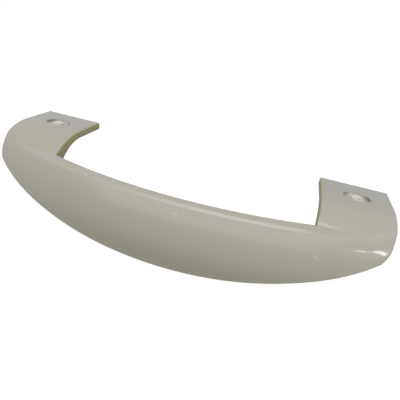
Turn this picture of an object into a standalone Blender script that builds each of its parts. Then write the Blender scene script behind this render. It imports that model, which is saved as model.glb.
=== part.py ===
# Fridge door handle: one moulding with two screw-down feet, two curved legs and a bowed grip bar
#
# Frame: X runs along the handle, the grip faces -Y and +Z is up. The origin lies midway between
# the two screw holes, on the plane that the feet sit on. Sections are drawn as (Y, Z) pairs
# measured from the top back edge of a foot, and placed in the frame by place().
# The grip's face is one arc swept around the bow. Its lower edge is an arc in front view, and its
# top edge is a flat ledge, which the legs run into along a straight valley.
import bpy
import bmesh
from math import acos, atan2, cos, pi, radians, sin, sqrt

# Feet and legs
LENGTH = 0.200                  # over both ends
LEG_WIDTH = 0.0345              # of each foot and leg, along the handle
FOOT_THICKNESS = 0.0040
FOOT_FLAT = 0.0208              # flat top of a foot, from its back edge to the bend
UNDER_FLAT = 0.0200             # flat underside of a foot
LEG_RADIUS = 0.0386             # bend of a leg's outer surface
UNDER_RADIUS = 0.0220           # bend of a leg's inner surface

# Grip bar
LEDGE_DROP = 0.0067             # top of the bar below the top of the feet
RIDGE_FORWARD = 0.0574          # front of the ledge from the feet's back edge, at mid length
RIDGE_SWEEP = 0.0198            # how far the front edge falls back at the ends
LEDGE_DEPTH = 0.0054            # width of the ledge at mid length
FACE_RADIUS = 0.0287            # camber of the face in section
FACE_CREST = 0.0203             # where the face stands upright, below the ledge
BAR_DROP = 0.0382               # lowest point of the bar below the top of the feet
TIP_DROP = 0.0131               # lower edge below the top of the feet, at the ends
LOWER_WALL = 0.0045             # thickness of the bar at its lower edge

# Rounded edges
RIDGE_ROUND = 0.0012
VALLEY_ROUND = 0.0009
EDGE_ROUND = 0.0007
LEG_EDGE_ROUND = 0.0008         # edges beside the finger gap
END_ROUND = 0.0009              # end edges of the feet
TIP_ROUND = 0.0016              # end edges at the lower tips, on the outer side
TIP_SETBACK = 0.0018            # in plan, how far the lower tips stand back from the feet's ends
TIP_REACH = 0.0218              # stretch behind the tips over which they do so
TIP_CURVE = 1.7                 # 2 curves the end's outline as an ellipse, more turns it later
TURN_BACK = 0.0032              # how far the face turns back at the very end
TURN_LENGTH = 0.0095            # stretch of the handle over which it does so
TURN_CURVE = 2.6                # above 1 it turns back late
CREASE_MIN = 0.0010             # shortest stretch between leg and face, near the ends
SIDE_SHARE = 0.42               # most of a side that the rounding of a corner may take
BEND_SHARE = 0.92               # most of its room that the inner bend of a leg may take
FILL_BLEND = 0.0010             # softness of the face's turn along the valley, near the ends

# Screw seats
SCREW_INSET = 0.017             # screw centre from the end of the handle
SCREW_BACK = 0.0155             # screw centre from the back edge
SCREW_HOLE = 0.0040
RECESS_LENGTH = 0.0130
RECESS_WIDTH = 0.0082
RECESS_DEPTH = 0.0013
COLLAR_DIAMETER = 0.0064        # raised ring around each screw hole
COLLAR_DROP = 0.0004            # top of the ring below the top of the foot

# Steps along each curve
BAR_STEPS = 14
LEG_STEPS = 14
FACE_STEPS = 12
BEND_STEPS = 9
UNDER_STEPS = 6
ROUND_STEPS = 3
END_STEPS = 4
CIRCLE_STEPS = 24

LEDGE_SHARES = (0.3, 0.55)      # section points on the ledge, from its back edge to the crest
FLAT_SHARES = (0.35, 0.7)       # section points along the flats of foot and leg
LEDGE_SHARED = 3                # section points on the ledge that bar and leg share
GAP_FADE = 3                    # points over which a leg's rounding runs out into the grip
CORNER_AIM = 0.1                # share of the face's height that its end corners aim at
HALVINGS = 40                   # steps of the search for the crest
SMOOTH_ANGLE = radians(35)      # sharper edges stay sharp in the shading

HALF = LENGTH / 2
GAP_HALF = HALF - LEG_WIDTH     # half of the finger gap's length
LEDGE_Z = -LEDGE_DROP


def place(x, y, z):
    return (x, y + SCREW_BACK, z + FOOT_THICKNESS)


def mix(a, b, t):
    return a + (b - a) * t


def ease(t):
    t = min(max(t, 0.0), 1.0)
    return t * t * (3 - 2 * t)


def arc_radius(half_span, rise):
    """Radius of an arc from its half span and its rise."""
    return (half_span ** 2 + rise ** 2) / (2 * rise)


def leg_z(y, inset):
    """Height of the outer surface of foot and leg at y."""
    past = min(max(-y - FOOT_FLAT, 0.0), LEG_RADIUS)
    return sqrt(LEG_RADIUS ** 2 - past ** 2) - LEG_RADIUS - inset


def valley_y():
    """Where a leg's outer surface comes down to the level of the ledge."""
    return -FOOT_FLAT - sqrt(LEG_RADIUS ** 2 - (LEG_RADIUS - LEDGE_DROP) ** 2)


def lower_z(x):
    """Lower edge of the bar in front view: an arc down from the tips to mid length."""
    radius = arc_radius(HALF, BAR_DROP - TIP_DROP)
    return radius - BAR_DROP - sqrt(radius ** 2 - x ** 2)


def bow_y(x, bulge):
    """Plan arc of the grip, bulging forward of its upper edge."""
    radius = arc_radius(HALF, RIDGE_SWEEP)
    return radius - RIDGE_FORWARD - sqrt((radius + bulge) ** 2 - x ** 2)


def turn_back(x):
    """How far the face turns back at x, near the end."""
    past = max(x - HALF + TURN_LENGTH, 0.0) / TURN_LENGTH
    return TURN_BACK * past ** TURN_CURVE


def face_y(x, z, inset=0.0):
    """The grip's face: a section arc swept around the bow, filled out where it meets the legs."""
    rise = max(LEDGE_Z - z - FACE_CREST, -FACE_RADIUS)
    bulge = sqrt(FACE_RADIUS ** 2 - rise ** 2) - sqrt(FACE_RADIUS ** 2 - FACE_CREST ** 2)
    behind = bow_y(x, 0.0) - valley_y()
    fill = (behind + sqrt(behind ** 2 + FILL_BLEND ** 2)) / 2
    share = (z - lower_z(x)) / (LEDGE_Z - lower_z(x))
    return bow_y(x, bulge) - fill * share + turn_back(x) + inset


def ledge_back_y(x):
    """Back edge of the ledge: an arc through mid length that meets both valleys at the legs."""
    middle = LEDGE_DEPTH - RIDGE_FORWARD
    radius = arc_radius(GAP_HALF, valley_y() - middle)
    return middle + radius - sqrt(radius ** 2 - x ** 2)


def crest(x, inset):
    """Corner where the face meets the ledge or, near the ends, the leg's surface."""
    ledge = LEDGE_Z - inset
    y = face_y(x, ledge, inset)
    if leg_z(y, inset) <= ledge:
        return (y, ledge)
    low = lower_z(x)
    high = ledge
    while leg_z(face_y(x, high, inset), inset) > high and high < 0:
        high += CREASE_MIN
    for _ in range(HALVINGS):
        z = (low + high) / 2
        if leg_z(face_y(x, z, inset), inset) > z:
            low = z
        else:
            high = z
    return (face_y(x, low, inset), low)


def shoulder(x, inset):
    """Where the leg's surface ends: in the valley, or just behind the crest near the ends."""
    y = max(valley_y(), crest(x, inset)[0] + CREASE_MIN)
    return (y, max(leg_z(y, inset), LEDGE_Z - inset))


def rounded(before, corner, after, radius):
    """Points of an arc that rounds a corner, kept within its two sides."""
    ay, az = before[0] - corner[0], before[1] - corner[1]
    by, bz = after[0] - corner[0], after[1] - corner[1]
    reach_a = sqrt(ay * ay + az * az)
    reach_b = sqrt(by * by + bz * bz)
    ay, az, by, bz = ay / reach_a, az / reach_a, by / reach_b, bz / reach_b
    half_cos = sqrt(max((1 + ay * by + az * bz) / 2, 0.0))
    half_sin = sqrt(max(1 - half_cos ** 2, 1e-9))
    cut = max(radius * half_cos / half_sin, radius / 4)
    cut = min(cut, SIDE_SHARE * reach_a, SIDE_SHARE * reach_b)
    start = (corner[0] + ay * cut, corner[1] + az * cut)
    end = (corner[0] + by * cut, corner[1] + bz * cut)
    points = []
    for i in range(ROUND_STEPS + 1):
        t = i / ROUND_STEPS
        # A conic whose middle weight is the sine of half the corner's angle is a true arc
        a, m, b = (1 - t) ** 2, 2 * t * (1 - t) * half_sin, t ** 2
        whole = a + m + b
        points.append(((a * start[0] + m * corner[0] + b * end[0]) / whole,
                       (a * start[1] + m * corner[1] + b * end[1]) / whole))
    return points


def lower_corners(x, inset):
    """Front and inner corner of the lower edge."""
    z = lower_z(x) + min(inset, END_ROUND)
    front = face_y(x, z, inset)
    return (front, z), (front + LOWER_WALL, z)


def face_run(x, inset=0.0):
    """Crest, face and lower edge, which the sections of bar and leg share."""
    top = crest(x, inset)
    front, inner = lower_corners(x, inset)
    aim = CORNER_AIM * (top[1] - front[1])
    below = (face_y(x, top[1] - aim, inset), top[1] - aim)
    above = (face_y(x, front[1] + aim, inset), front[1] + aim)
    points = rounded(shoulder(x, inset), top, below, RIDGE_ROUND)
    bottom = rounded(above, front, inner, EDGE_ROUND)
    start, end = points[-1][1], bottom[0][1]
    for i in range(1, FACE_STEPS):
        z = mix(start, end, i / FACE_STEPS)
        points.append((face_y(x, z, inset), z))
    return points + bottom


def ledge_points(x, inset=0.0):
    """Two points on the ledge, from its back edge towards the crest."""
    back = shoulder(x, inset)
    front = crest(x, inset)
    return [(mix(back[0], front[0], t), mix(back[1], front[1], t)) for t in LEDGE_SHARES]


def bar_section(x):
    """Section of the grip between the legs."""
    front, inner = lower_corners(x, 0.0)
    top = (ledge_back_y(x), LEDGE_Z)
    depth = top[0] - face_y(x, LEDGE_Z)
    wall = []
    for i in range(BEND_STEPS):
        t = (i + 0.5) / BEND_STEPS
        z = mix(inner[1], LEDGE_Z, t)
        wall.append((face_y(x, z) + mix(LOWER_WALL, depth, t), z))
    ridge = face_y(x, LEDGE_Z)
    ledge = [(mix(top[0], ridge, t), LEDGE_Z) for t in LEDGE_SHARES]
    corner_in = rounded(front, inner, wall[0], EDGE_ROUND)
    corner_top = rounded(wall[-1], top, ledge[0], EDGE_ROUND)
    return face_run(x) + corner_in + wall + corner_top + ledge


def under_bend(inner, start):
    """The bend of a leg's inner surface, from the line to the lower corner up to the flat."""
    ahead, below = start[0] - inner[0], start[1] - inner[1]
    room = (ahead ** 2 + below ** 2) / (2 * below)
    radius = min(UNDER_RADIUS, BEND_SHARE * room)
    reach = sqrt(ahead ** 2 + (below - radius) ** 2)
    swing = atan2(ahead, radius - below) - acos(radius / reach)
    turns = [swing * i / UNDER_STEPS for i in range(UNDER_STEPS, -1, -1)]
    return [(start[0] - radius * sin(turn), start[1] - radius + radius * cos(turn)) for turn in turns]


def inner_side(x, inset=0.0):
    """Inner surface of leg and foot, from the lower edge to the foot's back edge."""
    front, inner = lower_corners(x, inset)
    under_z = inset - FOOT_THICKNESS
    bend = under_bend(inner, (-UNDER_FLAT, under_z))
    rise = [(mix(inner[0], bend[0][0], t), mix(inner[1], bend[0][1], t)) for t in FLAT_SHARES]
    corner = rounded(front, inner, rise[0], EDGE_ROUND)
    flat = (-UNDER_FLAT / 2, under_z)
    back = rounded(flat, (-inset, under_z), (-inset, -inset), back_round(inset))
    return corner + rise + bend + [flat] + back


def outer_side(x, inset=0.0):
    """Outer surface of foot and leg, from the foot's back edge to the crest."""
    back = rounded((-inset, inset - FOOT_THICKNESS), (-inset, -inset), (-FOOT_FLAT / 2, -inset),
                   back_round(inset))
    outer = [(-FOOT_FLAT * t, -inset) for t in FLAT_SHARES]
    end = shoulder(x, inset)
    for i in range(BEND_STEPS):
        y = mix(-FOOT_FLAT, end[0], i / BEND_STEPS)
        outer.append((y, leg_z(y, inset)))
    ledge = ledge_points(x, inset)
    return back + outer + rounded(outer[-1], end, ledge[0], VALLEY_ROUND) + ledge


def back_round(inset):
    return max(EDGE_ROUND - inset, EDGE_ROUND / 4)


def leg_section(x, inset=0.0):
    """Section of foot, leg and face, with every surface moved inwards by the inset."""
    return face_run(x, inset) + inner_side(x, inset) + outer_side(x, inset)


def tip_share(point):
    """From 0 on the foot to 1 at the lower tip, at a section point."""
    return min(max((-point[0] - FOOT_FLAT) / TIP_REACH, 0.0), 1.0)


def setback(point):
    """How far the end's outline stands back at a section point."""
    return TIP_SETBACK * (1 - (1 - tip_share(point) ** TIP_CURVE) ** (1 / TIP_CURVE))


def leg_loop(x, turn=None):
    """Loop of a leg, drawn back to the end's outline; a turn runs through the end rounding."""
    run = HALF - GAP_HALF - LEG_EDGE_ROUND
    share = max((x - HALF + run) / run, 0.0)
    inner_from = len(face_run(HALF))
    inner_to = inner_from + len(inner_side(HALF))
    loop = []
    for i, point in enumerate(leg_section(HALF)):
        radius = mix(END_ROUND, TIP_ROUND, tip_share(point) ** 2)
        if inner_from <= i < inner_to:
            radius = END_ROUND
        near = x - setback(point) * share ** 2
        inset = 0.0
        if turn is not None:
            near -= radius * (1 - sin(turn))
            inset = radius * (1 - cos(turn))
        y, z = leg_section(near, inset)[i]
        loop.append((near, y, z))
    return loop


def end_loops():
    """Loops that round the edge all around the end of the handle."""
    turns = [pi / 2 * step / END_STEPS for step in range(END_STEPS + 1)]
    return [leg_loop(HALF, turn) for turn in turns]


def close_end(bm, loop):
    """Wall of the end, a strip of triangles between its outer and its inner side."""
    face = len(face_run(HALF))
    back = face + len(inner_side(HALF))
    outer = (loop[back:] + loop[:face])[::-1]
    inner = loop[face:back]
    i = k = 0
    while i < len(outer) - 1 or k < len(inner) - 1:
        ahead = outer[min(i + 1, len(outer) - 1)]
        below = inner[min(k + 1, len(inner) - 1)]
        over = (ahead.co - inner[k].co).length - (below.co - outer[i].co).length
        if k == len(inner) - 1 or (i < len(outer) - 1 and over <= 0):
            bm.faces.new((outer[i], ahead, inner[k]))
            i += 1
        else:
            bm.faces.new((outer[i], below, inner[k]))
            k += 1


def gap_loops():
    """Loops that round the edges of a leg beside the finger gap; the grip's own points stay."""
    shared = len(face_run(GAP_HALF)) + ROUND_STEPS + 1
    count = len(leg_section(GAP_HALF))
    loops = []
    for step in range(ROUND_STEPS):
        turn = pi / 2 * step / ROUND_STEPS
        x = GAP_HALF + LEG_EDGE_ROUND * (1 - cos(turn))
        loop = []
        for i in range(count):
            from_grip = min(i - shared + 1, count - LEDGE_SHARED - ROUND_STEPS - i)
            inset = ease(from_grip / GAP_FADE) * LEG_EDGE_ROUND * (1 - sin(turn))
            y, z = leg_section(x, inset)[i]
            loop.append((x, y, z))
        loops.append(loop)
    return loops


def leg_loops():
    """Loops from the finger gap to the end of the handle."""
    start = GAP_HALF + LEG_EDGE_ROUND
    end = HALF - TIP_ROUND - END_ROUND
    plain = []
    for i in range(LEG_STEPS + 1):
        x = mix(start, end, sin(pi / 2 * i / LEG_STEPS))
        plain.append(leg_loop(x))
    return gap_loops() + plain + end_loops()


def half_handle(bm):
    """Half of the moulding, open at mid length."""
    shared = len(face_run(GAP_HALF)) + ROUND_STEPS + 1
    bar = []
    for i in range(BAR_STEPS + 1):
        x = GAP_HALF * i / BAR_STEPS
        bar.append([bm.verts.new(place(x, y, z)) for y, z in bar_section(x)])
    legs = []
    for n, loop in enumerate(leg_loops()):
        verts = []
        for i, point in enumerate(loop):
            if n == 0 and i < shared:
                verts.append(bar[-1][i])
            elif n == 0 and i >= len(loop) - LEDGE_SHARED:
                verts.append(bar[-1][i - len(loop)])
            else:
                verts.append(bm.verts.new(place(*point)))
        legs.append(verts)
    for loops in (bar, legs):
        for a, b in zip(loops, loops[1:]):
            for i in range(len(a)):
                k = (i + 1) % len(a)
                bm.faces.new((a[i], b[i], b[k], a[k]))
    leg_side = legs[0][shared - 1:1 - LEDGE_SHARED]
    bar_side = bar[-1][shared:-LEDGE_SHARED]
    bm.faces.new(leg_side + bar_side[::-1])
    close_end(bm, legs[-1])


def new_object(name, bm, collection):
    mesh = bpy.data.meshes.new(name)
    bm.to_mesh(mesh)
    bm.free()
    thing = bpy.data.objects.new(name, mesh)
    collection.objects.link(thing)
    return thing


def prism(name, outline, low, high, collection):
    """Closed upright prism on a plan outline, as a cutter."""
    bm = bmesh.new()
    bottom = [bm.verts.new(place(x, y, low)) for x, y in outline]
    top = [bm.verts.new(place(x, y, high)) for x, y in outline]
    bm.faces.new(bottom[::-1])
    bm.faces.new(top)
    for i in range(len(outline)):
        k = (i + 1) % len(outline)
        bm.faces.new((bottom[i], bottom[k], top[k], top[i]))
    cutter = new_object(name, bm, collection)
    cutter.hide_render = True
    cutter.display_type = "WIRE"
    return cutter


def rounded_slot(cx, cy, length, width):
    """Plan outline with two half-round ends along X."""
    reach = max(length - width, 0.0) / 2
    points = []
    for side, start in ((1, -pi / 2), (-1, pi / 2)):
        for i in range(CIRCLE_STEPS // 2 + 1):
            turn = start + pi * i / (CIRCLE_STEPS // 2)
            points.append((cx + side * reach + width / 2 * cos(turn), cy + width / 2 * sin(turn)))
    return points


def cut(target, cutter, name):
    modifier = target.modifiers.new(name, "BOOLEAN")
    modifier.operation = "DIFFERENCE"
    modifier.solver = "EXACT"
    modifier.object = cutter


def cut_screw_seats(handle, collection):
    """A recess with a raised collar and a through hole in each foot."""
    margin = 0.002
    for side, word in ((-1, "left"), (1, "right")):
        cx, cy = side * (HALF - SCREW_INSET), -SCREW_BACK
        slot = rounded_slot(cx, cy, RECESS_LENGTH, RECESS_WIDTH)
        recess = prism(word + "_recess", slot, -RECESS_DEPTH, margin, collection)
        ring = rounded_slot(cx, cy, COLLAR_DIAMETER, COLLAR_DIAMETER)
        collar = prism(word + "_collar", ring[:-1], -RECESS_DEPTH - margin, -COLLAR_DROP, collection)
        cut(recess, collar, "leave_collar")
        cut(handle, recess, "recess_" + word)
        bore = rounded_slot(cx, cy, SCREW_HOLE, SCREW_HOLE)
        hole = prism(word + "_screw_hole", bore[:-1], -FOOT_THICKNESS - margin, margin, collection)
        cut(handle, hole, "hole_" + word)


def cream_plastic():
    """Glossy off-white moulding material."""
    material = bpy.data.materials.new("cream_plastic")
    material.use_nodes = True
    shader = material.node_tree.nodes["Principled BSDF"]
    shader.inputs["Base Color"].default_value = (0.62, 0.60, 0.53, 1.0)
    shader.inputs["Roughness"].default_value = 0.22
    shader.inputs["Metallic"].default_value = 0.0
    return material


def build():
    for thing in list(bpy.data.objects):
        bpy.data.objects.remove(thing, do_unlink=True)
    parts = bpy.data.collections.new("fridge_door_handle")
    cutters = bpy.data.collections.new("cutters")
    bpy.context.scene.collection.children.link(parts)
    bpy.context.scene.collection.children.link(cutters)

    bm = bmesh.new()
    half_handle(bm)
    bmesh.ops.recalc_face_normals(bm, faces=bm.faces)
    handle = new_object("handle_moulding", bm, parts)
    handle.data.materials.append(cream_plastic())
    mirror = handle.modifiers.new("other_half", "MIRROR")
    mirror.use_axis = (True, False, False)
    mirror.merge_threshold = 0.00001
    cut_screw_seats(handle, cutters)
    handle.data.shade_smooth()
    handle.data.set_sharp_from_angle(angle=SMOOTH_ANGLE)


build()
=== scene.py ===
from bisect import bisect_right
from functools import lru_cache
from math import acos, atan2, cos, pi, radians, sin, sqrt

import bmesh
import bpy
from mathutils import Matrix, Quaternion, Vector


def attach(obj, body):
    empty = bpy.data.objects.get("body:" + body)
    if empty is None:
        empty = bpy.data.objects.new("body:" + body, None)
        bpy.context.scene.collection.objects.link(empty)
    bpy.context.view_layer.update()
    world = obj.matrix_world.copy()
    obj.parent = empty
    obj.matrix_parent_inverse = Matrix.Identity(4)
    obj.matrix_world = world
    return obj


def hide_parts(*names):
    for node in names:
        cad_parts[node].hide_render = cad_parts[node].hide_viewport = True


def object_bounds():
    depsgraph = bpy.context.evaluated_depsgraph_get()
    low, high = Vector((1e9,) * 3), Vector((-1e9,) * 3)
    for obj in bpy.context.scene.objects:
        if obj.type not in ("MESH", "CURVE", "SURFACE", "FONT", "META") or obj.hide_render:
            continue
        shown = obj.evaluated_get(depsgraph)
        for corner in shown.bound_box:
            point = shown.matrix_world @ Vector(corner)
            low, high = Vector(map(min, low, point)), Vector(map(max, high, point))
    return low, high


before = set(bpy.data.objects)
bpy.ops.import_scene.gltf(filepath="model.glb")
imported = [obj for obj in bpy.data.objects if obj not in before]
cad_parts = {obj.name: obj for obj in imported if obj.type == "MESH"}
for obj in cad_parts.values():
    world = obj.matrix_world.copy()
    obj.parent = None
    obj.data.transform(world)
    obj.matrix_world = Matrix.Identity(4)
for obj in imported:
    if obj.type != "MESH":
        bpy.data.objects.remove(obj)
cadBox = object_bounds()
print("frame loaded")


# Shader maths: wraps a socket, so that plain expressions on values add their Math nodes
class Value:
    def __init__(self, tree, socket):
        self.tree = tree
        self.socket = socket

    def maths(self, operation, *values):
        node = self.tree.nodes.new("ShaderNodeMath")
        node.operation = operation
        for slot, value in zip(node.inputs, values):
            connect(self.tree, slot, value)
        return Value(self.tree, node.outputs[0])

    def __add__(self, other):
        return self.maths("ADD", self, other)

    def __radd__(self, other):
        return self.maths("ADD", other, self)

    def __sub__(self, other):
        return self.maths("SUBTRACT", self, other)

    def __rsub__(self, other):
        return self.maths("SUBTRACT", other, self)

    def __mul__(self, other):
        return self.maths("MULTIPLY", self, other)

    def __rmul__(self, other):
        return self.maths("MULTIPLY", other, self)

    def __pow__(self, other):
        return self.maths("POWER", self, other)

    def least(self, other):
        return self.maths("MINIMUM", self, other)

    def most(self, other):
        return self.maths("MAXIMUM", self, other)

    def size(self):
        return self.maths("ABSOLUTE", self)


def connect(tree, slot, value):
    if isinstance(value, Value):
        value = value.socket
    if isinstance(value, bpy.types.NodeSocket):
        tree.links.new(value, slot)
    else:
        slot.default_value = value


class Shader:
    # a material's or world's node tree, with one method that adds any node
    def __init__(self, owner):
        owner.use_nodes = True
        self.tree = owner.node_tree
        self.tree.nodes.clear()

    def add(self, kind, settings=None, inputs=None, output=0):
        node = self.tree.nodes.new("ShaderNode" + kind)
        for name, value in (settings or {}).items():
            setattr(node, name, value)
        for name, value in (inputs or {}).items():
            connect(self.tree, node.inputs[name], value)
        if output is None:
            return [Value(self.tree, out) for out in node.outputs]
        if len(node.outputs):
            return Value(self.tree, node.outputs[output])

    def blend(self, factor, first, second):
        # colours: Factor is socket 0, A and B are sockets 6 and 7, Result is output 2
        return self.add("Mix", {"data_type": "RGBA"}, {0: factor, 6: first, 7: second}, 2)

    def noise(self, where, scale, detail, roughness):
        inputs = {"Vector": where, "Scale": scale, "Detail": detail, "Roughness": roughness}
        return self.add("TexNoise", None, inputs)

    def ramp(self, factor, low, high):
        # 0 below low and 1 above high, smooth between
        inputs = {"Value": factor, "From Min": low, "From Max": high}
        return self.add("MapRange", {"interpolation_type": "SMOOTHSTEP"}, inputs)

    def fade(self, factor, low, high):
        # 1 below low and 0 above high
        return 1.0 - self.ramp(factor, low, high)

    def parts(self, vector):
        return self.add("SeparateXYZ", None, {0: vector}, None)


def grey(level):
    return (level, level, level, 1.0)


# The moulding, in metres; sections are measured from the top back edge of a foot, as (y, z)
moulding = {
    # feet and legs
    "length": 0.200,
    "legWidth": 0.0345,
    "footThickness": 0.0040,
    "footFlat": 0.0208,
    "underFlat": 0.0200,
    "legRadius": 0.0386,
    "underRadius": 0.0220,
    # grip bar
    "ledgeDrop": 0.0067,
    "ridgeForward": 0.0574,
    "ridgeSweep": 0.0198,
    "ledgeDepth": 0.0054,
    "faceRadius": 0.0287,
    "faceCrest": 0.0203,
    "barDrop": 0.0382,
    "tipDrop": 0.0131,
    "lowerWall": 0.0045,
    "lowerFill": 0.0005,        # the lower edge is this much fuller than its arc, towards each end
    "lowerFillAt": 0.080,
    "lowerFillReach": 0.024,
    "valleyBlend": 0.0010,      # softness of the face's turn along the valley
    "valleyFill": 0.35,         # share of the face's depth behind the valley that fills out
    "creaseMin": 0.0010,        # least width of the ledge, near the ends
    # rounded edges
    "ridgeRound": 0.0026,
    "softWidth": 0.0012,        # the ridge is averaged over this width by the ends
    "softReach": 0.0065,
    "valleyRound": 0.0009,
    "edgeRound": 0.0007,
    "legEdgeRound": 0.0008,
    "sideShare": 0.42,          # most of a side that a corner's rounding takes
    "bendShare": 0.92,          # most of its room that the inner bend takes
    "cornerAim": 0.1,           # share of the face's height that its end corners aim at
    # ends
    "endRound": 0.0009,
    "tipRound": 0.0016,
    "tipSetback": 0.0014,       # how far the lower tips stand back in plan
    "tipReach": 0.0218,
    "tipCurve": 1.5,
    "cornerSetback": 0.0028,    # how much more the lower corners do, over their reach in height
    "cornerReach": 0.0040,
    "turnBack": 0.0002,
    "turnLength": 0.0095,
    "turnCurve": 2.6,
    # screw seats
    "screwInset": 0.017,
    "screwBack": 0.0155,
    "screwHole": 0.0040,
    "recessLength": 0.0130,
    "recessWidth": 0.0082,
    "recessDepth": 0.0010,
    "recessFloorRound": 0.0002,
    "collarDiameter": 0.0064,
    "collarDrop": 0.0004,
    "rimRound": 0.0004,
    "overrun": 0.001,           # cutters pass this far through what they cut
}
# Points along each stretch of a section, sections along the handle, and steps of the rest
fine = {
    "bar": 64, "leg": 36, "face": 40, "bend": 30, "under": 18, "round": 6, "end": 10, "flat": 12,
    "circle": 48, "rim": 4, "halvings": 24, "soft": 4, "gapFade": 8,
}
ledgeShares = (0.3, 0.45, 0.6)          # section points on the ledge, from its back edge to the crest
sharpFrom = radians(40)                 # sharper edges stay sharp in the shading
m = moulding
half = m["length"] / 2
gapHalf = half - m["legWidth"]
ledgeZ = -m["ledgeDrop"]
valleyReach = sqrt(m["legRadius"] ** 2 - (m["legRadius"] - m["ledgeDrop"]) ** 2)
valleyY = -m["footFlat"] - valleyReach


def place(x, y, z):
    return (x, y + m["screwBack"], z + m["footThickness"])


def mix(a, b, t):
    return a + (b - a) * t


def mixPoints(a, b, t):
    return tuple(mix(p, q, t) for p, q in zip(a, b))


def within(t):
    return min(max(t, 0.0), 1.0)


def ease(t):
    t = within(t)
    return t * t * (3 - 2 * t)


def arcRadius(halfSpan, rise):
    return (halfSpan ** 2 + rise ** 2) / (2 * rise)


lowerRadius = arcRadius(half, m["barDrop"] - m["tipDrop"])      # of the lower edge in front view
bowRadius = arcRadius(half, m["ridgeSweep"])                    # of the front edge in plan


def legZ(y, inset):
    past = min(max(-y - m["footFlat"], 0.0), m["legRadius"])
    return sqrt(m["legRadius"] ** 2 - past ** 2) - m["legRadius"] - inset


def lowerZ(x):
    fuller = m["lowerFill"] * ease(1 - abs(x - m["lowerFillAt"]) / m["lowerFillReach"])
    return lowerRadius - m["barDrop"] - sqrt(lowerRadius ** 2 - x ** 2) - fuller


def bowY(x, bulge):
    return bowRadius - m["ridgeForward"] - sqrt((bowRadius + bulge) ** 2 - x ** 2)


def turnBack(x):
    past = max(x - half + m["turnLength"], 0.0) / m["turnLength"]
    return m["turnBack"] * past ** m["turnCurve"]


def faceY(x, z, inset=0.0):
    rise = max(ledgeZ - z - m["faceCrest"], -m["faceRadius"])
    atLedge = sqrt(m["faceRadius"] ** 2 - m["faceCrest"] ** 2)
    bulge = sqrt(m["faceRadius"] ** 2 - rise ** 2) - atLedge
    behind = bowY(x, 0.0) - valleyY
    # the face fills out along the valley
    fill = m["valleyFill"] * (behind + sqrt(behind ** 2 + m["valleyBlend"] ** 2)) / 2
    share = (z - lowerZ(x)) / (ledgeZ - lowerZ(x))
    return bowY(x, bulge) - fill * share + turnBack(x) + inset


def ledgeBackY(x):
    middle = m["ledgeDepth"] - m["ridgeForward"]
    radius = arcRadius(gapHalf, valleyY - middle)
    return middle + radius - sqrt(radius ** 2 - x ** 2)


@lru_cache(maxsize=None)
def crest(x, inset):
    # where the face meets the ledge, or the leg where that comes first
    ledge = ledgeZ - inset
    y = faceY(x, ledge, inset)
    if legZ(y, inset) <= ledge:
        return (y, ledge)
    low, high = lowerZ(x), ledge
    while legZ(faceY(x, high, inset), inset) > high and high < 0:
        high += m["creaseMin"]
    for _ in range(fine["halvings"]):
        z = (low + high) / 2
        if legZ(faceY(x, z, inset), inset) > z:
            low = z
        else:
            high = z
    return (faceY(x, low, inset), low)


def shoulder(x, inset):
    # back edge of the ledge, at the foot of a leg
    y = max(valleyY, crest(x, inset)[0] + m["creaseMin"])
    return (y, max(legZ(y, inset), ledgeZ - inset))


def rounded(before, corner, after, radius):
    # points of an arc that replaces the corner between two sides
    a = Vector(before) - Vector(corner)
    b = Vector(after) - Vector(corner)
    reachA, reachB = a.length, b.length
    a.normalize()
    b.normalize()
    halfCos = sqrt(max((1 + a.dot(b)) / 2, 0.0))
    halfSin = sqrt(max(1 - halfCos ** 2, 1e-9))
    cut = max(radius * halfCos / halfSin, radius / 4)
    cut = min(cut, m["sideShare"] * min(reachA, reachB))
    start, end, middle = Vector(corner) + a * cut, Vector(corner) + b * cut, Vector(corner)
    points = []
    for i in range(fine["round"] + 1):
        t = i / fine["round"]
        wa, wm, wb = (1 - t) ** 2, 2 * t * (1 - t) * halfSin, t ** 2
        points.append(tuple((start * wa + middle * wm + end * wb) / (wa + wm + wb)))
    return points


def lowerCorners(x, inset):
    z = lowerZ(x) + min(inset, m["endRound"])
    front = faceY(x, z, inset)
    return (front, z), (front + m["lowerWall"], z)


def faceRun(x, inset=0.0):
    top = crest(x, inset)
    front, inner = lowerCorners(x, inset)
    aim = m["cornerAim"] * (top[1] - front[1])
    below = (faceY(x, top[1] - aim, inset), top[1] - aim)
    above = (faceY(x, front[1] + aim, inset), front[1] + aim)
    points = rounded(shoulder(x, inset), top, below, m["ridgeRound"])
    bottom = rounded(above, front, inner, m["edgeRound"])
    start, end = points[-1][1], bottom[0][1]
    for i in range(1, fine["face"]):
        z = mix(start, end, i / fine["face"])
        points.append((faceY(x, z, inset), z))
    return points + bottom


def barSection(x):
    front, inner = lowerCorners(x, 0.0)
    top = (ledgeBackY(x), ledgeZ)
    depth = top[0] - faceY(x, ledgeZ)
    wall = []
    for i in range(fine["bend"]):
        t = (i + 0.5) / fine["bend"]
        z = mix(inner[1], ledgeZ, t)
        wall.append((faceY(x, z) + mix(m["lowerWall"], depth, t), z))
    ridge = faceY(x, ledgeZ)
    ledge = [(mix(top[0], ridge, t), ledgeZ) for t in ledgeShares]
    cornerIn = rounded(front, inner, wall[0], m["edgeRound"])
    cornerTop = rounded(wall[-1], top, ledge[0], m["edgeRound"])
    return faceRun(x) + cornerIn + wall + cornerTop + ledge


def underBend(inner, start):
    ahead, below = start[0] - inner[0], start[1] - inner[1]
    room = (ahead ** 2 + below ** 2) / (2 * below)
    radius = min(m["underRadius"], m["bendShare"] * room)
    reach = sqrt(ahead ** 2 + (below - radius) ** 2)
    swing = atan2(ahead, radius - below) - acos(radius / reach)
    points = []
    for i in range(fine["under"], -1, -1):
        turn = swing * i / fine["under"]
        points.append((start[0] - radius * sin(turn), start[1] - radius + radius * cos(turn)))
    return points


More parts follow.
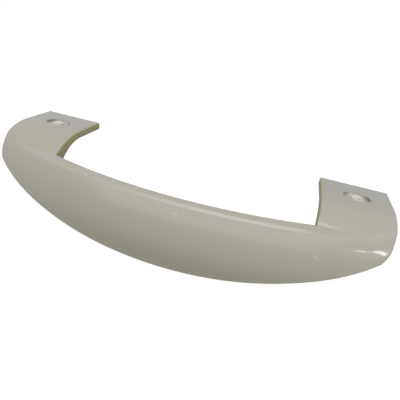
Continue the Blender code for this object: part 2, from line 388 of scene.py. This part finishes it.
def backRound(inset):
    return max(m["edgeRound"] - inset, m["edgeRound"] / 4)


def innerSide(x, inset=0.0):
    front, inner = lowerCorners(x, inset)
    underZ = inset - m["footThickness"]
    bend = underBend(inner, (-m["underFlat"], underZ))
    steps = fine["flat"]
    rise = [mixPoints(inner, bend[0], i / steps) for i in range(2, steps)]
    corner = rounded(front, inner, rise[0], m["edgeRound"])
    under = [(-m["underFlat"] * (1 - i / steps), underZ) for i in range(1, steps)]
    back = rounded(under[-1], (-inset, underZ), (-inset, -inset), backRound(inset))
    return corner + rise + bend + under + back


def outerSide(x, inset=0.0):
    steps = fine["flat"]
    outer = [(-m["footFlat"] * i / steps, -inset) for i in range(1, steps)]
    under = (-inset, inset - m["footThickness"])
    back = rounded(under, (-inset, -inset), outer[0], backRound(inset))
    end = shoulder(x, inset)
    for i in range(fine["bend"]):
        y = mix(-m["footFlat"], end[0], i / fine["bend"])
        outer.append((y, legZ(y, inset)))
    ledge = [mixPoints(end, crest(x, inset), t) for t in ledgeShares]
    return back + outer + rounded(outer[-1], end, ledge[0], m["valleyRound"]) + ledge


@lru_cache(maxsize=None)
def legSection(x, inset=0.0):
    return faceRun(x, inset) + innerSide(x, inset) + outerSide(x, inset)


def tipShare(point):
    # from 0 on the foot to 1 at the lower tip
    return within((-point[0] - m["footFlat"]) / m["tipReach"])


def setback(point):
    # how far the end's outline stands back there
    low = within((m["cornerReach"] - m["tipDrop"] - point[1]) / m["cornerReach"])
    tip = 1 - (1 - tipShare(point) ** m["tipCurve"]) ** (1 / m["tipCurve"])
    return m["tipSetback"] * tip + m["cornerSetback"] * (1 - sqrt(1 - low ** 2))


endSection = legSection(half)
# Section points on the face and on a leg's inner side, and those that the bar and a leg share
faceCount, innerCount = len(faceRun(half)), len(innerSide(half))
barShared = faceCount + fine["round"] + 1
ledgeShared = len(ledgeShares) + 1


def legLoop(x, turn=None):
    # a loop drawn back to the end's outline; a turn runs through the end's rounded edge
    run = half - gapHalf - m["legEdgeRound"]
    share = max((x - half + run) / run, 0.0)
    loop = []
    for i, point in enumerate(endSection):
        radius = mix(m["endRound"], m["tipRound"], tipShare(point) ** 2)
        if faceCount <= i < faceCount + innerCount:
            radius = m["endRound"]
        near, inset = x - setback(point) * share ** 2, 0.0
        if turn is not None:
            near -= radius * (1 - sin(turn))
            inset = radius * (1 - cos(turn))
        loop.append((near, *legSection(near, inset)[i]))
    return loop


def endLoops():
    return [legLoop(half, pi / 2 * step / fine["end"]) for step in range(fine["end"] + 1)]


def closeEnd(bm, loop):
    # wall of the end, a strip of triangles between its outer and its inner side
    outer = (loop[faceCount + innerCount:] + loop[:faceCount])[::-1]
    inner = loop[faceCount:faceCount + innerCount]
    i = k = 0
    while i < len(outer) - 1 or k < len(inner) - 1:
        ahead = outer[min(i + 1, len(outer) - 1)]
        below = inner[min(k + 1, len(inner) - 1)]
        over = (ahead.co - inner[k].co).length - (below.co - outer[i].co).length
        if k == len(inner) - 1 or (i < len(outer) - 1 and over <= 0):
            bm.faces.new((outer[i], ahead, inner[k]))
            i += 1
        else:
            bm.faces.new((outer[i], below, inner[k]))
            k += 1


def gapLoops():
    # the edge beside the finger gap is rounded, and runs out where the leg meets the grip
    count = len(endSection)
    loops = []
    for step in range(fine["round"]):
        turn = pi / 2 * step / fine["round"]
        x = gapHalf + m["legEdgeRound"] * (1 - cos(turn))
        loop = []
        for i in range(count):
            fromGrip = min(i - barShared + 1, count - ledgeShared - fine["round"] - i)
            inset = ease(fromGrip / fine["gapFade"]) * m["legEdgeRound"] * (1 - sin(turn))
            loop.append((x, *legSection(x, inset)[i]))
        loops.append(loop)
    return loops


def between(points, steps, distance):
    # the point at a distance along a polyline
    distance = min(max(distance, 0.0), steps[-1])
    i = min(bisect_right(steps, distance), len(steps) - 1)
    t = (distance - steps[i - 1]) / max(steps[i] - steps[i - 1], 1e-9)
    return points[i - 1].lerp(points[i], t)


def softened(loop):
    # the ridge rounded off further, from nothing beside the gap to its full width at the end
    start = gapHalf + m["legEdgeRound"]
    toEnd = within((loop[-1][0] - start) / (half - m["tipRound"] - start))
    width = m["softWidth"] * (1 - (1 - toEnd) ** 2)
    outer = len(loop) - faceCount - innerCount
    points = [Vector(point) for point in loop[-outer:] + loop[:faceCount]]
    steps = [0.0]
    for a, b in zip(points, points[1:]):
        steps.append(steps[-1] + (b - a).length)
    ridge = steps[outer + fine["round"] // 2]
    soft, around = [], fine["soft"]
    for point, step in zip(points, steps):
        reach = width * ease(1 - abs(step - ridge) / m["softReach"])
        if reach > 0:
            shifts = [reach * k / around for k in range(-around, around + 1)]
            near = [between(points, steps, step + shift) for shift in shifts]
            point = sum(near, Vector()) / len(near)
        soft.append(tuple(point))
    return soft[outer:] + loop[faceCount:faceCount + innerCount] + soft[:outer]


def legLoops():
    start, end = gapHalf + m["legEdgeRound"], half - m["tipRound"] - m["endRound"]
    shares = [sin(pi / 2 * i / fine["leg"]) for i in range(fine["leg"] + 1)]
    plain = [legLoop(mix(start, end, share)) for share in shares]
    return gapLoops() + [softened(loop) for loop in plain + endLoops()]


def halfMoulding(bm, side, middle, loops):
    # middle holds the verts at mid length, which both halves share, and loops the points of a leg
    def put(x, y, z):
        return bm.verts.new(place(side * x, y, z))

    bar = [middle]
    for i in range(1, fine["bar"] + 1):
        x = gapHalf * i / fine["bar"]
        bar.append([put(x, y, z) for y, z in barSection(x)])
    legs = []
    for n, loop in enumerate(loops):
        verts = []
        for i, point in enumerate(loop):
            if n == 0 and i < barShared:
                verts.append(bar[-1][i])
            elif n == 0 and i >= len(loop) - ledgeShared:
                verts.append(bar[-1][i - len(loop)])
            else:
                verts.append(put(*point))
        legs.append(verts)
    for rings in (bar, legs):
        for a, b in zip(rings, rings[1:]):
            for i in range(len(a)):
                k = (i + 1) % len(a)
                bm.faces.new((a[i], b[i], b[k], a[k]))
    # the leg's side beside the finger gap
    legSide = legs[0][barShared - 1:1 - ledgeShared]
    barSide = bar[-1][barShared:-ledgeShared]
    bm.faces.new(legSide + barSide[::-1])
    closeEnd(bm, legs[-1])


def slotOutline(side, length, width):
    # a slot around a screw, or a circle where length and width are the same
    centreX, centreY = side * (half - m["screwInset"]), -m["screwBack"]
    reach, radius = max(length - width, 0.0) / 2, width / 2
    steps = fine["circle"] // 2
    points = []
    for way, start in ((1, -pi / 2), (-1, pi / 2)):
        for i in range(steps + 1 if reach > 0 else steps):
            turn = start + pi * i / steps
            points.append((centreX + way * reach + radius * cos(turn), centreY + radius * sin(turn)))
    return points


def stack(name, side, length, width, levels):
    # closed solid of stacked slot outlines; a level is a height and the outline's growth there
    bm = bmesh.new()
    loops = []
    for z, grow in levels:
        outline = slotOutline(side, length + 2 * grow, width + 2 * grow)
        loops.append([bm.verts.new(place(x, y, z)) for x, y in outline])
    for low, high in zip(loops, loops[1:]):
        for i in range(len(low)):
            k = (i + 1) % len(low)
            bm.faces.new((low[i], low[k], high[k], high[i]))
    bm.faces.new(loops[0][::-1])
    bm.faces.new(loops[-1])
    return meshObject(name, bm)


def meshObject(name, bm):
    bmesh.ops.recalc_face_normals(bm, faces=bm.faces)
    mesh = bpy.data.meshes.new(name)
    bm.to_mesh(mesh)
    bm.free()
    thing = bpy.data.objects.new(name, mesh)
    bpy.context.collection.objects.link(thing)
    return thing


def cut(target, cutter):
    modifier = target.modifiers.new(cutter.name, "BOOLEAN")
    modifier.operation = "DIFFERENCE"
    modifier.solver = "EXACT"
    modifier.object = cutter
    bpy.context.view_layer.update()
    shape = target.evaluated_get(bpy.context.evaluated_depsgraph_get())
    mesh = bpy.data.meshes.new_from_object(shape)
    target.modifiers.clear()
    target.data = mesh
    bpy.data.objects.remove(cutter, do_unlink=True)


def roundedRim(high, outward):
    # levels of a quarter round between a wall and the flat at its top
    r = m["rimRound"]
    levels = []
    for i in range(fine["rim"] + 1):
        turn = pi / 2 * i / fine["rim"]
        levels.append((high - r + r * sin(turn), outward * r * (1 - cos(turn))))
    return levels


def cutScrewSeat(body, side):
    # a slotted recess with a raised ring in it, around the screw's hole
    depth, drop, overrun = m["recessDepth"], m["collarDrop"], m["overrun"]
    fillet, ring, bore = m["recessFloorRound"], m["collarDiameter"], m["screwHole"]
    floor = [(-depth, -fillet), (-depth + fillet, 0.0)]
    rim = roundedRim(0.0, 1)
    top = [(overrun, rim[-1][1])]
    recess = stack("recess", side, m["recessLength"], m["recessWidth"], floor + rim + top)
    collarLevels = [(-depth - overrun, 0.0)] + roundedRim(-drop, -1)
    cut(recess, stack("collar", side, ring, ring, collarLevels))
    cut(body, recess)
    rim = roundedRim(-drop, 1)
    holeLevels = [(-m["footThickness"] - overrun, 0.0)] + rim + [(overrun, rim[-1][1])]
    cut(body, stack("screwHole", side, bore, bore, holeLevels))


def makeMoulding():
    bm = bmesh.new()
    middle = [bm.verts.new(place(0, y, z)) for y, z in barSection(0.0)]
    loops = legLoops()
    for side in (1, -1):
        halfMoulding(bm, side, middle, loops)
    body = meshObject("handleMoulding", bm)
    for side in (-1, 1):
        cutScrewSeat(body, side)
    body.data.shade_smooth()
    body.data.set_sharp_from_angle(angle=sharpFrom)
    return body


# Gloss cream plastic with a few handling marks, and painted shade that makes it darker and yellower
# where it is low
plastic = {
    "colour": (0.480, 0.464, 0.425, 1.0),
    "roughness": 0.19,
    "specular": 0.12,
    "coat": 0.38,
    "coatRoughness": 0.07,
    "bump": 0.05,
    "bumpDistance": 0.0004,
    # noises, as scale, detail and roughness
    "cloudNoise": (38.0, 3.0, 0.55),
    "fineNoise": (420.0, 4.0, 0.6),
    "wobbleNoise": (2600.0, 2.0, 0.5),
    "smearNoise": (75.0, 4.0, 0.6),
    "rippleNoise": (160.0, 2.0, 0.4),
    "wobble": 0.0006,           # how far the edges of marks wander
    # paint that comes and goes over the whole handle: colour, share and span of its mask
    # painted shade: darker and yellower where it is low
    "lowShade": ((0.440, 0.430, 0.350, 1.0), 1.0, (0.006, 0.040)),
    "clouds": ((0.52, 0.50, 0.45, 1.0), 0.10, (0.35, 0.75)),
    "specks": ((0.38, 0.36, 0.30, 1.0), 0.08, (0.55, 0.80)),
    # painted shade: the feet darker and greyer towards the back
    "feet": ((0.345, 0.342, 0.325, 1.0), 0.85, (-0.013, 0.006)),
    "lowShadeWander": 0.006,
    "feetWander": 0.008,
    # place on the grip's face, radius and colour of each small mark
    "marks": [
        ((0.02934, -0.04819, -0.01762), 0.00070, (0.12, 0.11, 0.09, 1.0)),
        ((0.00460, -0.04480, -0.00630), 0.00100, (0.66, 0.64, 0.59, 1.0)),
        ((0.00610, -0.04490, -0.00640), 0.00100, (0.66, 0.64, 0.59, 1.0)),
        ((-0.04134, -0.03841, -0.00274), 0.00110, (0.65, 0.63, 0.59, 1.0)),
        ((0.07356, -0.03752, -0.01120), 0.00070, (0.58, 0.56, 0.51, 1.0)),
    ],
    "markSpan": (0.35, 1.1),    # of its radius
    "markShare": 0.8,
    "scratchFrom": (0.0660, -0.0393, -0.0108),
    "scratchTo": (0.0692, -0.0392, -0.0123),
    "scratchWidth": 0.00065,
    "scratchSide": 0.3,         # where it starts to fade, of its width
    "scratchSpan": (0.35, 0.55),
    "scratchWobble": 0.4,
    "scratchColour": (0.66, 0.64, 0.59, 1.0),
    "scratchShare": 0.6,
    # painted highlight: the ridge is painted lighter, mostly on its right half
    "ridgeHighlightColour": (0.64, 0.63, 0.59, 1.0),
    "ridgeHighlightShare": 0.8,
    "ridgeSpan": (0.0006, 0.0014),
    "ridgeLeft": (-0.080, -0.060),
    "ridgeMiddle": (-0.030, 0.010),
    "ridgeRight": (0.058, 0.066),
    "ridgeLess": 0.15,
    "ridgeMore": 0.70,
    # the cut inner sides of the legs are duller, and painted yellower as the warm shade on them
    "cutShadeColour": (0.455, 0.44, 0.245, 1.0),
    "cutShadeShare": 0.9,
    "cutFacing": (0.25, 0.6),
    "cutPast": (0.0006, 0.0018),
    "cutForward": (-0.034, -0.030),
    # recesses: painted light makes the seat and the hole lighter, and painted shade darkens both ends
    "recessReach": (0.0064, 0.0068),
    "recessBelow": (0.00005, 0.0003),
    "recessAbove": (0.0002, 0.0005),
    "recessWobble": 0.8,
    "recessLightColour": (0.62, 0.61, 0.575, 1.0),
    "recessLightShare": 0.9,
    "recessLightSpan": (0.0022, 0.0052),
    "holeLightColour": (0.90, 0.89, 0.85, 1.0),
    "holeLightSpan": (0.0021, 0.0025),
    "recessShadeColour": (0.22, 0.21, 0.18, 1.0),
    "recessShadeShare": 0.3,
    "recessShadeSpan": (0.0048, 0.0062),
    # what each adds to the roughness
    "smearSpan": (0.40, 0.75),
    "smearRough": 0.07,
    "fineRough": 0.04,
    "scratchRough": 0.2,
    "cutRough": 0.3,
    "rippleShare": 0.8,
    "fineShare": 0.2,
}


def scaled(span, size):
    return [share * size for share in span]


def scratchMask(s, where, wobble):
    p = plastic
    start, end = Vector(p["scratchFrom"]), Vector(p["scratchTo"])
    along, length = (end - start).normalized(), (end - start).length
    offset = s.add("VectorMath", {"operation": "SUBTRACT"}, {0: where, 1: tuple((start + end) / 2)})
    run = s.add("VectorMath", {"operation": "DOT_PRODUCT"}, {0: offset, 1: tuple(along)}, "Value")
    reach = s.add("VectorMath", {"operation": "LENGTH"}, {0: offset}, "Value")
    beside = (reach * reach - run * run).most(0.0) ** 0.5 + wobble * p["scratchWobble"]
    width = p["scratchWidth"]
    across = s.fade(beside, p["scratchSide"] * width, width)
    return across * s.fade(run.size(), *scaled(p["scratchSpan"], length))


def ridgeHighlightMask(s, x, y, z):
    # where the ridge's painted highlight lies
    p = plastic
    ridgeY = (bowRadius - m["ridgeForward"] + m["screwBack"]) - (bowRadius ** 2 - x * x) ** 0.5
    behind, above = y - ridgeY, z - (m["footThickness"] + ledgeZ)
    near = s.fade((behind * behind + above * above) ** 0.5, *p["ridgeSpan"])
    more = p["ridgeLess"] + p["ridgeMore"] * s.ramp(x, *p["ridgeMiddle"])
    return near * s.fade(x, *p["ridgeRight"]) * more * s.ramp(x, *p["ridgeLeft"])


def cutMask(s, x, y, facing):
    p = plastic
    past = x.size() - gapHalf
    sideways = s.ramp(s.parts(facing)[0].size(), *p["cutFacing"])
    return sideways * s.fade(past, *p["cutPast"]) * s.ramp(y, *p["cutForward"])


# painted light and shade in the screw recesses
def paintRecesses(s, colour, x, y, z, wobble):
    p = plastic
    fromScrew = x.size() - (half - m["screwInset"])
    reach = (fromScrew * fromScrew + y * y) ** 0.5
    inRecess = s.fade(reach, *p["recessReach"]) * s.ramp(z, *p["recessAbove"])
    inRecess = inRecess * s.ramp(m["footThickness"] - z, *p["recessBelow"])
    alongSlot = fromScrew.size() + wobble * p["recessWobble"]
    # painted light on the seat and, brighter, on the hole
    recessLight = inRecess * s.fade(alongSlot, *p["recessLightSpan"])
    colour = s.blend(recessLight * p["recessLightShare"], colour, p["recessLightColour"])
    colour = s.blend(inRecess * s.fade(reach, *p["holeLightSpan"]), colour, p["holeLightColour"])
    # painted shade in both ends of each recess
    recessShade = inRecess * s.ramp(alongSlot, *p["recessShadeSpan"])
    return s.blend(recessShade * p["recessShadeShare"], colour, p["recessShadeColour"])


def paintPlastic(material):
    p = plastic
    s = Shader(material)
    where = s.add("TexCoord", output="Object")
    x, y, z = s.parts(where)
    cloud = s.noise(where, *p["cloudNoise"])
    fineCloud = s.noise(where, *p["fineNoise"])
    wobble = s.noise(where, *p["wobbleNoise"]) * p["wobble"]
    colour = p["colour"]

    def wash(colour, name, factor):
        tint, share, span = p[name]
        return s.blend(s.ramp(factor, *span) * share, colour, tint)

    # painted shade: darker and yellower towards the bottom
    colour = wash(colour, "lowShade", cloud * p["lowShadeWander"] - z)
    colour = wash(colour, "clouds", cloud)
    colour = wash(colour, "specks", fineCloud)
    for spot, radius, tint in p["marks"]:
        reach = s.add("VectorMath", {"operation": "DISTANCE"}, {0: where, 1: spot}, "Value") + wobble
        onMark = s.fade(reach, *scaled(p["markSpan"], radius))
        colour = s.blend(onMark * p["markShare"], colour, tint)
    onScratch = scratchMask(s, where, wobble)
    colour = s.blend(onScratch * p["scratchShare"], colour, p["scratchColour"])
    # painted shade: the feet darker and greyer towards the back
    colour = wash(colour, "feet", y + cloud * p["feetWander"])
    # painted highlight along the ridge
    colour = s.blend(ridgeHighlightMask(s, x, y, z) * p["ridgeHighlightShare"], colour, p["ridgeHighlightColour"])
    # painted shade: the cut sides yellower; they are also rougher and uncoated
    cutSide = cutMask(s, x, y, s.add("TexCoord", output="Normal"))
    colour = s.blend(cutSide * p["cutShadeShare"], colour, p["cutShadeColour"])
    colour = paintRecesses(s, colour, x, y, z, wobble)
    smear = s.ramp(s.noise(where, *p["smearNoise"]), *p["smearSpan"])
    roughness = smear * p["smearRough"] + fineCloud * p["fineRough"] + onScratch * p["scratchRough"]
    roughness = roughness + cutSide * p["cutRough"] + p["roughness"]
    ripple = s.noise(where, *p["rippleNoise"]) * p["rippleShare"] + fineCloud * p["fineShare"]
    inputs = {"Strength": p["bump"], "Distance": p["bumpDistance"], "Height": ripple}
    shader = s.add("BsdfPrincipled", None, {
        "Base Color": colour,
        "Roughness": roughness,
        "Specular IOR Level": p["specular"],
        "Coat Weight": p["coat"] * (1.0 - cutSide),
        "Coat Roughness": p["coatRoughness"],
        "Normal": s.add("Bump", None, inputs),
    })
    s.add("OutputMaterial", None, {"Surface": shader})


body = makeMoulding()
creamPlastic = bpy.data.materials.new("glossCreamPlastic")
paintPlastic(creamPlastic)
body.data.materials.clear()
body.data.materials.append(creamPlastic)
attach(body, "root")
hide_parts("handle_moulding")
print("moulding made:", len(body.data.polygons), "faces")


# Camera at the photograph's viewing angle
camera = {
    "place": (0.04140, -0.17136, 0.07149),
    "right": (0.9492, 0.2761, 0.1507),
    "up": (-0.2592, 0.4151, 0.8721),
    "lens": 31.83,
    "sensor": 36.0,
    "nearest": 0.01,
}


def makeCamera():
    data = bpy.data.cameras.new("camera")
    data.lens = camera["lens"]
    data.sensor_width = camera["sensor"]
    data.clip_start = camera["nearest"]
    eye = bpy.data.objects.new("camera", data)
    bpy.context.collection.objects.link(eye)
    right = Vector(camera["right"]).normalized()
    back = right.cross(Vector(camera["up"])).normalized()
    up = back.cross(right)
    turn = Matrix((right, up, back)).transposed().to_4x4()
    eye.matrix_world = Matrix.Translation(camera["place"]) @ turn
    bpy.context.scene.camera = eye


makeCamera()
print("camera placed")


# Plain studio: pale floor, white surroundings and three soft lamps
studio = {
    "floorDrop": 0.0006,
    "floorSize": 8.0,
    "floorColour": grey(0.40),
    "floorGlow": 0.86,          # near the handle, where its shadow falls; white further off
    "whiteSpan": (0.16, 0.34),
    "ambient": (0.29, 0.27, 0.22, 1.0),
    # name, place, size, watts, colour and roll of each lamp, which looks at the aim
    "lamps": [
        ("keyLamp", (0.0, -0.510, 0.740), (1.50, 1.10), 6.12, (0.98, 0.99, 1.0), 0.0),
        ("topLamp", (0.03, 0.02, 0.90), (0.50, 0.15), 1.0, (1.0, 0.99, 0.97), 0.0),
        ("sideLamp", (0.711, -0.435, 0.300), (0.034, 0.23), 0.74, (1.0, 0.99, 0.97), 0.38),
    ],
    "aim": (0.0, -0.020, -0.010),
}


def makeFloor():
    z = cadBox[0][2] - studio["floorDrop"]
    reach = studio["floorSize"] / 2
    bm = bmesh.new()
    corners = [(-reach, -reach, z), (reach, -reach, z), (reach, reach, z), (-reach, reach, z)]
    bm.faces.new([bm.verts.new(corner) for corner in corners])
    floor = meshObject("floor", bm)
    material = bpy.data.materials.new("paleFloor")
    s = Shader(material)
    seen = seenRays(s)
    diffuse = s.add("BsdfDiffuse", None, {"Color": studio["floorColour"]})
    glow = s.add("Emission", None, {"Color": grey(studio["floorGlow"]), "Strength": 1.0})
    near = s.add("AddShader", None, {0: diffuse, 1: glow})
    white = s.add("Emission", None, {"Color": grey(1.0), "Strength": 1.0})
    where = s.add("TexCoord", output="Object")
    away = s.add("VectorMath", {"operation": "LENGTH"}, {0: where}, "Value")
    shown = s.add("MixShader", None, {0: s.ramp(away, *studio["whiteSpan"]), 1: near, 2: white})
    both = s.add("MixShader", None, {0: seen, 1: diffuse, 2: shown})
    s.add("OutputMaterial", None, {"Surface": both})
    floor.data.materials.append(material)


def seenRays(s):
    # 1 for rays from the camera, reflections and refractions
    names = ("Is Camera Ray", "Is Glossy Ray", "Is Transmission Ray")
    direct, glossy, through = [s.add("LightPath", output=name) for name in names]
    return (direct + glossy + through).least(1.0)


def makeWorld():
    world = bpy.data.worlds.new("studio")
    bpy.context.scene.world = world
    s = Shader(world)
    plain = s.add("Background", None, {"Color": studio["ambient"], "Strength": 1.0})
    white = s.add("Background", None, {"Color": grey(1.0), "Strength": 1.0})
    both = s.add("MixShader", None, {0: seenRays(s), 1: plain, 2: white})
    s.add("OutputWorld", None, {"Surface": both})


def makeLamps():
    for name, spot, size, watts, colour, roll in studio["lamps"]:
        data = bpy.data.lights.new(name, "AREA")
        data.shape = "RECTANGLE"
        data.size, data.size_y = size
        data.energy = watts
        data.color = colour
        lamp = bpy.data.objects.new(name, data)
        bpy.context.collection.objects.link(lamp)
        towards = Vector(studio["aim"]) - Vector(spot)
        aimed = towards.to_track_quat("-Z", "Y") @ Quaternion((0.0, 0.0, 1.0), roll)
        lamp.rotation_euler = aimed.to_euler()
        lamp.location = spot


makeFloor()
makeWorld()
makeLamps()
scene = bpy.context.scene
scene.view_settings.view_transform = "Standard"
print("studio set")
